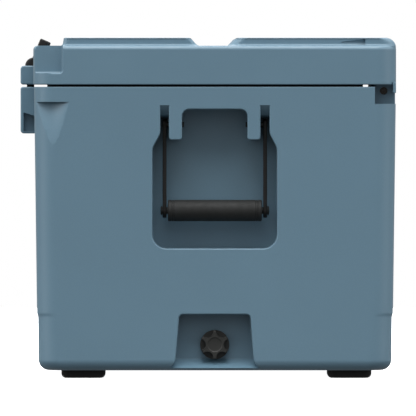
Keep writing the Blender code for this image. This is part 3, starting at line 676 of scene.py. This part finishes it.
def build_tub():
    tub = tub_form("tub_skin")
    ledge = box("ledge", (-400, 400), (LEDGE_Y, 260), (LEDGE_Z, 400))
    tilt = [(-400, -6), (-400, 72), (-340, 72), (WHEEL_X + 2, BASE_Z - 0.05), (WHEEL_X + 2, -6)]
    cut(tub, ledge, prism("tilt", tilt, "Y", (-300, 300)))
    cut(tub, *[wheel_arch(y, side) for y, side in zip(FOOT_Y, (-1, 1))])
    cut(tub, *[scoop_cutter(sign) for sign in (-1, 1)])
    join(tub, *[tub_boss(x) for x in LATCH_X], *[tub_knuckle(*span) for span in TUB_KNUCKLES])
    cut(tub, *[pocket_cutter(sign) for sign in (-1, 1)])
    cut(tub, drain_cutter())
    cutters = []
    for x in LATCH_X:
        cutters.append(box("slot", (x - 16, x + 16), (-230, -201.0), (282.0, 350.0)))
        cutters.append(rod("hole", "X", (PIN_Y, PIN_Z), (x - 37, x + 37), 3.3, 0.2, 32))
        for side in (-1, 1):
            outline = rounded(((-215, 286, 1), (-202.2, 286, 1), (-202.2, 304.6, 1), (-215, 308.7, 1)), 3)
            edge = x + side * BOSS_HALF
            cutters.append(prism("tie", outline, "X", (edge - side * 9, edge + side * 3), 0.6))
    cutters.append(rod("bore", "X", (HINGE_Y, HINGE_Z), (-400, 400), 4.65, 0.2))
    cutters.append(rod("axle", "Y", (WHEEL_X, WHEEL_R), (-131, 151), 5.3, 0.2))
    for sign in (-1, 1):
        cutters.append(rod("pivot", "Y", (sign * PIVOT_X, PIVOT_Z), (-60, 78), 3.3, 0.2, 32))
    cutters.append(rod("drain", "X", (DRAIN_Y, DRAIN_Z), (240, 335), 11.3, 0.2))
    cut(tub, *cutters)
    cut(tub, well_form("inside", 3.3, RIM_Z + 6))
    cut(tub, prism("rebate", flange_outline(-0.3), "Z", (RIM_Z - 3.8, RIM_Z + 6)))
    return dressed(tub, SHELL, "tub_shell")


def build_liner():
    liner = well_form("tub_lining", 3.0, RIM_Z - 0.2)
    join(liner, prism("flange", flange_outline(0.0), "Z", (RIM_Z - 3.5, RIM_Z - 0.02), 0.5))
    cut(liner, well_form("inside", 0.0, RIM_Z + 6))
    corners = []
    for sign in (-1, 1):
        corners.append(box("corner", (sign * 400, sign * (HALF_LENGTH - 19.3)), (-240, -154.7), (300, 380)))
    hole = rod("hole", "X", (DRAIN_Y, DRAIN_Z), (262, 292), 11.3, 0.2)
    cut(liner, *corners, hole)
    return dressed(liner, LINER, "tub_liner")


# ---------------------------------------------------------------- lid


def lid_form(name):
    """The lid's main block: rounded corners, a soft top edge and a small radius below."""
    levels = [(LID_Z + 1.2 * (1 - sin(a)), 1.2 * (1 - cos(a))) for a in steps_between(90, 0, 3)]
    levels += [(LID_TOP_Z - 5.0 * (1 - sin(a)), 5.0 * (1 - cos(a))) for a in steps_between(0, 90, 8)]
    rings = []
    for z, curl in levels:
        back = LID_BACK_Y - curl * 0.6
        rings.append(ring_at(z, HALF_LENGTH - curl, LID_FRONT_Y + curl, back, CORNER_R - curl * 0.8, 14))
    return loft(name, rings)


def front_pad_edges(z):
    rise = (z - LID_TOP_Z) / (PAD_TOP_Z - LID_TOP_Z)
    return -169.0 + 1.5 * rise, -12.4 - 8.2 * rise


def back_pad_edges(z):
    rise = (z - LID_TOP_Z) / (PAD_TOP_Z - LID_TOP_Z)
    over = max(0.0, z - PAD_TOP_Z + 12.0)
    return 24.2 + 8.7 * rise, LID_BACK_Y - 12.05 + sqrt(max(0.0, 144.0 - over * over))


def lid_pad(name, edges, back_fillet, corner):
    """A raised pad with a hollow fillet round its foot and a soft top edge."""
    levels = [(LID_TOP_Z - 6.5, 2.6)]
    levels += [(LID_TOP_Z - 0.03 + 2.6 * (1 - cos(a)), 2.6 * (1 - sin(a))) for a in steps_between(0, 90, 5)]
    levels += [(LID_TOP_Z + rise, 0.0) for rise in (3.6, 5.2, 6.8, 8.4)]
    levels += [(PAD_TOP_Z - 1.8 * (1 - sin(a)), -1.8 * (1 - cos(a))) for a in steps_between(0, 90, 6)]
    rings = []
    for z, more in levels:
        front, back = edges(max(z, LID_TOP_Z - 2.0))
        back += more * back_fillet
        rings.append(ring_at(z, HALF_LENGTH - 10 + more, front - more, back, corner + more, 6))
    return loft(name, rings)


def pad_dish(sign):
    """The small dish in the end of the back pad: shallow in front, ending in a rounded pit."""
    rings = []
    for i in range(11):
        share = i / 10
        y = 155.0 + 27.5 * share
        reach = 0.4 + 1.9 * share**1.5
        tall = 1.5 + 2.2 * share
        ring = []
        for a in steps_between(0, 330, 11):
            x = HALF_LENGTH - 10.4 + reach * 1.2 * cos(a)
            ring.append((sign * x, y, PAD_TOP_Z - 5.4 + tall * sin(a)))
        rings.append(ring)
    return loft("dish", rings)


def corner_recess(sign):
    """The step at the lid's front corners, over a small ledge."""
    outline = rounded(((-240, 354, 0), (-168.5, 354, 4), (-168.5, 404, 0), (-240, 404, 0)), 5)
    return sunk("recess", outline, sign, 14.0, 1.4, 2.6)


def lid_boss(x):
    foot = LID_Z + 0.03
    outline = rounded(((-190, foot, 0), (-190, 363, 0), (BOSS_Y, 363, 4), (BOSS_Y, foot, 3)), 6)
    boss = prism("boss", outline, "X", (x - BOSS_HALF, x + BOSS_HALF), 1.6)
    slot = box("slot", (x - 16, x + 16), (-230, -203.4), (330, REST_Z + 2))
    return cut(boss, bar_rest(x, 1.6, 0.03), slot)


def bar_rest(x, clearance, raised):
    """The recess that a latch's bar and pull tab lie in."""
    floor = REST_Z + raised
    outline = rounded(((-240, floor, 0), (-189.5, floor, 2), (-175, 400, 0), (-240, 400, 0)), 4)
    half = BAR_HALF + clearance
    return prism("rest", outline, "X", (x - half, x + half))


def lid_knuckle(low, high):
    outline = [(LEDGE_Y + 1.2, LID_Z + 4), (LEDGE_Y + 1.2, HINGE_Z)]
    outline += arc((HINGE_Y, HINGE_Z), HINGE_Y - LEDGE_Y - 1.2, 180, 300, 18)[1:]
    outline += [(LID_BACK_Y - 0.25, 331.3), (LID_BACK_Y - 0.25, LID_Z + 4)]
    return prism("knuckle", outline, "X", (low + 0.5, high - 0.5), 0.8)


def build_lid():
    lid = lid_form("lid_skin")
    join(lid, lid_pad("pad", front_pad_edges, 1.0, 6.0), lid_pad("pad", back_pad_edges, 0.0, 12.0))
    skirts = []
    for sign in (-1, 1):
        outline = [(214.4, 331.3), (218.1, 331.3), (218.1, LID_Z + 3), (214.4, LID_Z + 3)]
        skirts.append(prism("skirt", outline, "X", (sign * 330.6, sign * 348.0), 0.8))
    join(lid, *skirts, *[lid_knuckle(*span) for span in LID_KNUCKLES])
    cutters = [corner_recess(sign) for sign in (-1, 1)] + [pad_dish(sign) for sign in (-1, 1)]
    for low, high in TUB_KNUCKLES:
        cutters.append(box("relief", (low - 0.6, high + 0.6), (HINGE_Y - 15, 240), (300, HINGE_Z + 14.2)))
    cut(lid, *cutters, *[bar_rest(x, 2.0, 0.0) for x in LATCH_X])
    join(lid, *[lid_boss(x) for x in LATCH_X])
    hollow = [(x, y) for x, y, _ in ring_at(0, 322, -170, 165, 16)]
    cutters = [prism("hollow", hollow, "Z", (LID_Z - 5, LID_TOP_Z - WALL))]
    outer = [(x, y) for x, y, _ in ring_at(0, 339.3, -187.5, 180.6, 22.3)]
    inner = [(x, y) for x, y, _ in ring_at(0, 328.7, -176.9, 170.0, 11.7)]
    groove = prism("groove", outer, "Z", (LID_Z - 5, LID_Z + 3.2))
    cutters.append(cut(groove, prism("inner", inner, "Z", (LID_Z - 10, LID_Z + 10))))
    cutters.append(rod("bore", "X", (HINGE_Y, HINGE_Z), (-260, 260), 4.65, 0.2))
    cut(lid, *cutters)
    return dressed(lid, SHELL, "lid_shell")


def build_lid_lining():
    plate = [(x, y) for x, y, _ in ring_at(0, 321.7, -169.7, 164.7, 16)]
    plug = [(x, y) for x, y, _ in ring_at(0, 268, -140, 154, 20)]
    panel = [(x, y) for x, y, _ in ring_at(0, 240, -112, 126, 14)]
    lining = prism("lid_lining", plate, "Z", (LID_Z, LID_Z + 4.0), 0.8)
    join(lining, prism("plug", plug, "Z", (332.0, LID_Z + 2.0), 3.0, 5))
    cut(lining, prism("panel", panel, "Z", (328.0, 333.6), 1.2))
    return dressed(lining, LINER, "lid_liner")


def build_gasket():
    """A soft seal with a groove along each side, running round the lid's groove."""
    low, high = RIM_Z + 0.02, extent("lid_gasket")[1][2]
    base = [(x, y) for x, y, _ in ring_at(0, 334, -182.2, 175.3, 17)]
    section = [(-4.6, high), (-4.9, high - 0.6), (-4.9, low + 2.2), (-4.4, low + 1.8), (-4.9, low + 1.4)]
    section += [(-4.9, low + 0.5), (-4.5, low), (4.5, low), (4.9, low + 0.5), (4.9, low + 1.4)]
    section += [(4.4, low + 1.8), (4.9, low + 2.2), (4.9, high - 0.6), (4.6, high)]
    loops = [[(x, y, z) for x, y in grown(base, reach)] for reach, z in section]
    return dressed(closed_sweep("lid_seal", loops), GASKET, "lid_gasket")


# ---------------------------------------------------------------- latches


def build_latch(name, x):
    """A rubber T-latch: loop, strap with a sunk panel, ridged cross bar and a pull tab leaning back."""
    front, back = PIN_Y - STRAP_T / 2, PIN_Y + STRAP_T / 2
    side = [(front, PIN_Z), (back, PIN_Z), (back, BAR_Z), (front, BAR_Z)]
    latch = prism(name + "_rubber", side, "X", (x - STRAP_HALF, x + STRAP_HALF), 1.3)
    loop = rod("loop", "X", (PIN_Y, PIN_Z), (x - STRAP_HALF, x + STRAP_HALF), 6.6, 1.3)
    start = x - BAR_HALF
    profile = [(start + 2.6 * (1 - sin(a)), BAR_R - 2.6 * (1 - cos(a))) for a in steps_between(90, 0, 5)]
    for k in range(6):
        start = x - BAR_HALF + 5.0 + 3.0 * k
        profile += [(start, BAR_R), (start + 0.5, BAR_R - 0.5)]
        profile += [(start + 1.2, BAR_R - 0.5), (start + 1.7, BAR_R)]
    profile += [(2 * x - reach, radius) for reach, radius in reversed(profile)]
    bar = turned("bar", "X", (BAR_Y, BAR_Z), profile, 56)
    lean = radians(23.0)
    corners = []
    for across, along, radius in ((-5.2, 0, 0), (5.2, 0, 0), (5.2, 33.0, 1.5), (-5.2, 33.0, 1.5)):
        y = BAR_Y + along * sin(lean) + across * cos(lean)
        z = BAR_Z + along * cos(lean) - across * sin(lean)
        corners.append((y, z, radius))
    tab = prism("tab", rounded(corners, 4), "X", (x - 30, x + 30), 2.0, 4)
    join(latch, loop, bar, tab)
    cutters = [rod("bore", "X", (PIN_Y, PIN_Z), (x - 60, x + 60), 3.15, 0.2, 32)]
    panel = rounded(((x - 9, 308, 2), (x + 9, 308, 2), (x + 9, 347, 2), (x - 9, 347, 2)), 3)
    cutters.append(prism("panel", panel, "Y", (front - 3, front + 0.8)))
    for k in range(4):
        along = 14.0 + 4.2 * k
        y = BAR_Y + along * sin(lean) - 5.6 * cos(lean)
        z = BAR_Z + along * cos(lean) + 5.6 * sin(lean)
        cutters.append(rod("rib", "X", (y, z), (x - 24, x + 24), 1.1, 0.5, 16))
    cut(latch, *cutters)
    pin = rod(name + "_steel", "X", (PIN_Y, PIN_Z), (x - 36.5, x + 36.5), 3.0, 0.5, 32)
    dressed(pin, STEEL, name.replace("latch", "latch_pin"))
    return dressed(latch, RUBBER, name)


# ---------------------------------------------------------------- handles


def build_arm(end, sign, place):
    """A flat moulded arm with a round eye at each end."""
    node = f"handle_arm_{end}_{place}"
    low, high = extent(node)
    x = sign * PIVOT_X
    outline = arc((x, PIVOT_Z), 6.3, 0, 180, 24) + arc((x, ROD_Z), 8.4, 180, 360, 28)
    arm = prism(node + "_moulded", outline, "Y", (low[1], high[1]), 0.9)
    cutters = [
        rod("bore", "Y", (x, PIVOT_Z), (low[1] - 9, high[1] + 9), 3.15, 0.2, 32),
        rod("eye", "Y", (x, ROD_Z), (low[1] - 9, high[1] + 9), 4.3, 0.2, 32),
    ]
    for outer in (low[1], high[1]):
        channel = rounded(((x - 3.6, 208, 2), (x + 3.6, 208, 2), (x + 2.6, 284, 2), (x - 2.6, 284, 2)), 4)
        cutters.append(prism("channel", channel, "Y", (outer - 0.8, outer + 0.8), 0.3))
    cut(arm, *cutters)
    return dressed(arm, ARM, node)


def build_handle(end, sign):
    """A swing handle: two arms on a rod with domed heads, and a rubber grip with moulded rings."""
    x = sign * PIVOT_X
    for place in ("front", "back"):
        build_arm(end, sign, place)
    low, high = extent(f"handle_rod_{end}")
    near, far = low[1], high[1]
    dome = ((0.0, 1.2), (0.0, 3.4), (0.4, 4.6), (1.1, 5.3), (1.9, 5.5), (2.2, 5.3), (2.2, 4.0))
    profile = [(near + reach, r) for reach, r in dome]
    profile += [(far - reach, r) for reach, r in reversed(dome)]
    dressed(turned(f"handle_bar_{end}", "Y", (x, ROD_Z), profile, 40), BLACK, f"handle_rod_{end}")
    low, high = extent(f"handle_grip_{end}")
    radius = (high[2] - low[2]) / 2
    near, far = low[1], high[1]
    profile = [(near, 4.3), (near, radius - 2.2)]
    profile += [(near + 1.6 * (1 - sin(a)), radius - 1.6 * (1 - cos(a))) for a in steps_between(60, 0, 4)]
    for start in (near + 4.0, near + 6.4):
        profile += [(start, radius), (start + 0.4, radius - 0.5)]
        profile += [(start + 0.9, radius - 0.5), (start + 1.3, radius)]
    profile += [(near + far - reach, r) for reach, r in reversed(profile)]
    grip = closed_sweep(f"handle_sleeve_{end}", hoops("Y", (x, ROD_Z), profile, 60))
    return dressed(grip, GRIP, f"handle_grip_{end}")


# ---------------------------------------------------------------- drain


def build_drain():
    """The drain's fitting and its scalloped plug."""
    low, high = extent("drain_fitting")
    wall = high[0]
    centre = (DRAIN_Y, DRAIN_Z)
    profile = [(low[0], 8.2), (low[0], 10.6), (low[0] + 0.5, 11.0)]
    for k in range(9):
        start = low[0] + 2.0 + 2.2 * k
        profile += [(start, 11.0), (start + 0.7, 10.3), (start + 1.4, 11.0)]
    collar = ((2.5, 11.0), (2.5, 15.2), (2.1, 15.5), (0.6, 15.5), (0.0, 14.9), (0.0, 8.2))
    profile += [(wall - reach, r) for reach, r in collar]
    dressed(closed_sweep("drain_spout", hoops("X", centre, profile, 60)), BLACK, "drain_fitting")
    low, high = extent("drain_knob")
    face = high[0]
    back = face - 12.5
    radius = (high[2] - low[2]) / 2
    profile = [(back, 7.7), (back, radius - 1.0), (back + 0.4, radius - 0.3)]
    profile += [(back + 1.0, radius), (back + 2.6, radius)]
    rim = radius - 0.4
    profile += [(face - 1.4 * (1 - sin(a)), rim - 1.4 * (1 - cos(a))) for a in steps_between(0, 90, 5)]
    profile += [(face, 8.6), (face - 0.5, 8.0), (face - 0.9, 7.2), (face - 0.9, 0.6)]
    knob = turned("plug", "X", centre, profile, 96)
    scallops = []
    for i in range(6):
        angle = radians(60 * i)
        spot = (DRAIN_Y + 17.2 * cos(angle), DRAIN_Z + 17.2 * sin(angle))
        scallops.append(rod("scallop", "X", spot, (back + 3.0, face + 20), 6.9, 1.0, 40))
    cut(knob, *scallops)
    softened(knob, 0.5, 3, 40)
    stem = [(low[0], 0.8), (low[0], 6.6), (low[0] + 1.0, 7.2)]
    for k in range(8):
        start = low[0] + 2.0 + 3.0 * k
        stem += [(start, 7.1), (start + 1.1, 7.7), (start + 1.9, 7.7)]
    stem += [(back + 1.0, 7.5), (back + 1.0, 0.8)]
    join(knob, turned("stem", "X", centre, stem, 48))
    return dressed(knob, BLACK, "drain_knob")


# ---------------------------------------------------------------- feet and wheels


def build_foot(place, y):
    """A rubber foot with rolled edges and a grooved sole."""
    low, high = extent(f"foot_{place}")
    half = (high[1] - low[1]) / 2
    rings = []
    levels = [(5.5 * (1 - sin(a)), 5.5 * (1 - cos(a))) for a in steps_between(90, 0, 8)] + [(high[2], 0.0)]
    for z, curl in levels:
        corners = (
            (high[0] - curl, y + half - curl, 9),
            (low[0] + curl, y + half - curl, 9),
            (low[0] + curl, y - half + curl, 9),
            (high[0] - curl, y - half + curl, 9),
        )
        rings.append([(x, v, z) for x, v in rounded(corners, 8)])
    foot = loft(f"foot_pad_{place}", rings)
    grooves = []
    for k in range(5):
        x = low[0] + 14 + 11 * k
        outline = [(x - 1.5, -1.0), (x + 1.5, -1.0), (x + 1.0, 1.4), (x - 1.0, 1.4)]
        grooves.append(prism("groove", outline, "Y", (y - half + 9, y + half - 9)))
    cut(foot, *grooves)
    return dressed(foot, RUBBER, f"foot_{place}")


def build_tyre(place, y):
    """A solid tyre: two tread grooves all round, notched shoulders and a rim line on each wall."""
    half, radius = 22.5, WHEEL_R
    crown = [(-22.5, 45.0), (-22.5, 47.6), (-22.0, 48.0), (-22.5, 48.4), (-22.5, 52.5)]
    crown += [(-half + 7.5 * (1 - cos(a)), radius - 7.5 * (1 - sin(a))) for a in steps_between(0, 90, 8)]
    crown += [(-8.6, radius), (-8.0, radius - 1.6), (-5.6, radius - 1.6), (-5.0, radius)]
    crown += [(-reach, r) for reach, r in reversed(crown)]
    crown = [(-21.9, 44.3)] + crown + [(21.9, 44.3)]
    sides = 180
    rings = []
    for reach, r in crown:
        ring = []
        for i in range(sides):
            angle = 2 * pi * i / sides
            shoulder = 12.0 < abs(reach) < 21.5 and r > radius - 6.0
            deep = 1.5 if shoulder and i % 6 < 2 else 0.0
            ring.append((WHEEL_X + (r - deep) * cos(angle), y + reach, WHEEL_R + (r - deep) * sin(angle)))
        rings.append(ring)
    return dressed(closed_sweep(f"tyre_rubber_{place}", rings), TYRE, f"tyre_{place}", 40.0)


def build_hub(place, y, side):
    """A moulded hub: rim, dished face with ribs and five holes, and a boss for the bush."""
    inner, outer = -side * 21.0, side * 21.0
    face, dish = outer, outer - side * 9.0
    profile = [(inner, 8.3), (inner, 43.2), (inner + side * 0.8, 44.0)]
    profile += [(face - side * 0.8, 44.0), (face, 43.2)]
    profile += [(face, 39.0), (face - side * 0.8, 38.0), (dish + side * 1.2, 37.6), (dish, 36.4)]
    profile += [(dish, 16.4), (dish + side * 1.2, 15.2), (face - side * 0.8, 15.0), (face, 14.2), (face, 8.3)]
    profile = [(y + reach, r) for reach, r in profile]
    hub = closed_sweep(f"hub_moulded_{place}", hoops("Y", (WHEEL_X, WHEEL_R), profile, 144))
    ribs, holes = [], []
    for i in range(5):
        turn = radians(72 * i + 90)
        spot = (WHEEL_X + 26.5 * cos(turn), WHEEL_R + 26.5 * sin(turn))
        holes.append(rod("hole", "Y", spot, (y - 40, y + 40), 7.5, 0.3, 40))
        between = turn + radians(36)
        along = Vector((cos(between), sin(between)))
        across = Vector((-along.y, along.x)) * 1.4
        start, stop = Vector((WHEEL_X, WHEEL_R)) + along * 14.2, Vector((WHEEL_X, WHEEL_R)) + along * 38.6
        corners = [start + across, start - across, stop - across, stop + across]
        span = (y + dish - side * 1.0, y + face - side * 2.0)
        ribs.append(prism("rib", [tuple(spot) for spot in corners], "Y", span, 0.5))
    join(hub, *ribs)
    cut(hub, *holes)
    return dressed(hub, BLACK, f"hub_{place}")


def build_cap(place, y, side):
    """A push-on cap with a domed face and a raised ring."""
    start, end = y + side * 22.0, y + side * 29.0
    skirt = ((0.0, 0.6), (0.0, 10.2), (0.5, 10.8), (1.0, 11.0))
    dome = ((2.4, 11.0), (1.3, 10.6), (0.7, 9.7), (0.5, 8.6), (1.0, 7.8), (0.7, 6.8), (0.2, 4.0), (0.0, 0.6))
    profile = [(start + side * reach, r) for reach, r in skirt]
    profile += [(end - side * reach, r) for reach, r in dome]
    cap = turned(f"cap_{place}", "Y", (WHEEL_X, WHEEL_R), profile, 48)
    bore = rod("bore", "Y", (WHEEL_X, WHEEL_R), (y + side * 15.0, y + side * 26.0), 5.3, 0.2, 32)
    cut(cap, bore)
    return dressed(cap, BLACK, f"axle_cap_{place}")


# ---------------------------------------------------------------- studio


def build_floor():
    """A white light table: it glows to the eye but lights nothing, so no shadow lies on it."""
    bm = bmesh.new()
    bmesh.ops.create_grid(bm, x_segments=8, y_segments=8, size=6000.0)
    floor = object_from(bm, "floor")
    floor.data.materials.append(studio_floor())
    floor.visible_diffuse = False
    floor.visible_glossy = False


def soft_sun(name, azimuth, elevation, strength, spread):
    """A wide soft light from one direction, the same everywhere."""
    data = bpy.data.lights.new(name, "SUN")
    data.energy = strength
    data.angle = radians(spread)
    light = bpy.data.objects.new(name, data)
    bpy.context.scene.collection.objects.link(light)
    around, up = radians(azimuth), radians(elevation)
    toward = Vector((cos(around) * cos(up), sin(around) * cos(up), sin(up)))
    light.location = toward * 3.0
    light.rotation_euler = toward.to_track_quat("Z", "Y").to_euler()
    return light


def build_world():
    """Plain white to the eye; as light, a bright soft sky above and little from below."""
    world = bpy.data.worlds.new("studio")
    world.use_nodes = True
    tree = world.node_tree
    tree.nodes.clear()
    path = tree.nodes.new("ShaderNodeLightPath")
    seen = tree.nodes.new("ShaderNodeBackground")
    fill = tree.nodes.new("ShaderNodeBackground")
    either = tree.nodes.new("ShaderNodeMixShader")
    out = tree.nodes.new("ShaderNodeOutputWorld")
    seen.inputs["Color"].default_value = (1.0, 1.0, 1.0, 1.0)
    seen.inputs["Strength"].default_value = 1.0
    fill.inputs["Color"].default_value = (1.0, 1.0, 1.0, 1.0)
    way = tree.nodes.new("ShaderNodeTexCoord")
    split = tree.nodes.new("ShaderNodeSeparateXYZ")
    height = tree.nodes.new("ShaderNodeMapRange")
    height.inputs["From Min"].default_value = -0.25
    height.inputs["From Max"].default_value = 0.9
    height.inputs["To Min"].default_value = 0.21
    height.inputs["To Max"].default_value = 1.1
    tree.links.new(way.outputs["Generated"], split.inputs["Vector"])
    tree.links.new(split.outputs["Z"], height.inputs["Value"])
    tree.links.new(height.outputs["Result"], fill.inputs["Strength"])
    tree.links.new(path.outputs["Is Camera Ray"], either.inputs["Fac"])
    tree.links.new(fill.outputs["Background"], either.inputs[1])
    tree.links.new(seen.outputs["Background"], either.inputs[2])
    tree.links.new(either.outputs["Shader"], out.inputs["Surface"])
    bpy.context.scene.world = world


def build_camera():
    """A very long lens square on to the drain end, so that the end shows with no perspective."""
    data = bpy.data.cameras.new("camera")
    data.sensor_width = 8.0
    distance = 20.1
    data.lens = data.sensor_width * distance / 0.4826
    data.clip_start, data.clip_end = 1.0, 60.0
    camera = bpy.data.objects.new("camera", data)
    bpy.context.scene.collection.objects.link(camera)
    aim = Vector((HALF_LENGTH * MM, -0.0002, 0.1978))
    camera.location = aim + Vector((distance, -0.07, (RIM_Z + LID_Z) / 2 * MM - aim.z))
    camera.rotation_euler = (aim - camera.location).to_track_quat("-Z", "Y").to_euler()
    bpy.context.scene.camera = camera


def main():
    build_tub()
    build_liner()
    build_lid()
    build_lid_lining()
    build_gasket()
    for name, x in zip(LATCHES, LATCH_X):
        build_latch(name, x)
    build_handle("wheel_end", -1)
    build_handle("drain_end", 1)
    build_drain()
    for place, y, side in zip(("front", "back"), FOOT_Y, (-1, 1)):
        build_foot(place, y)
        build_tyre(place, y)
        build_hub(place, y, side)
        build_cap(place, y, side)
    # The hinge pin takes the near-black steel, painted shade so that its end reads as a dark bore in the
    # hinge notch.
    kept = {"tub_foam": FOAM, "lid_foam": FOAM, "hinge_pin": HINGE_PIN_SHADE_STEEL, "axle": STEEL}
    kept.update({"drain_nut": BLACK, "drain_seal": GASKET})
    for node in frame["nodes"]:
        if node.startswith("handle_pin"):
            kept[node] = BLACK
        if node.startswith("wheel_bush"):
            kept[node] = ACETAL
    for node, material in kept.items():
        piece = frame["nodes"][node]
        piece.data.materials.clear()
        piece.data.materials.append(material)
    build_floor()
    build_world()
    build_camera()
    soft_sun("front", 0.0, 66.0, 2.5, 40.0)
    soft_sun("left", -75.0, 25.0, 1.5, 50.0)
    soft_sun("right", 75.0, 25.0, 1.0, 50.0)
    soft_sun("back", 180.0, 60.0, 1.8, 60.0)
    bpy.context.scene.view_settings.view_transform = "Standard"


main()
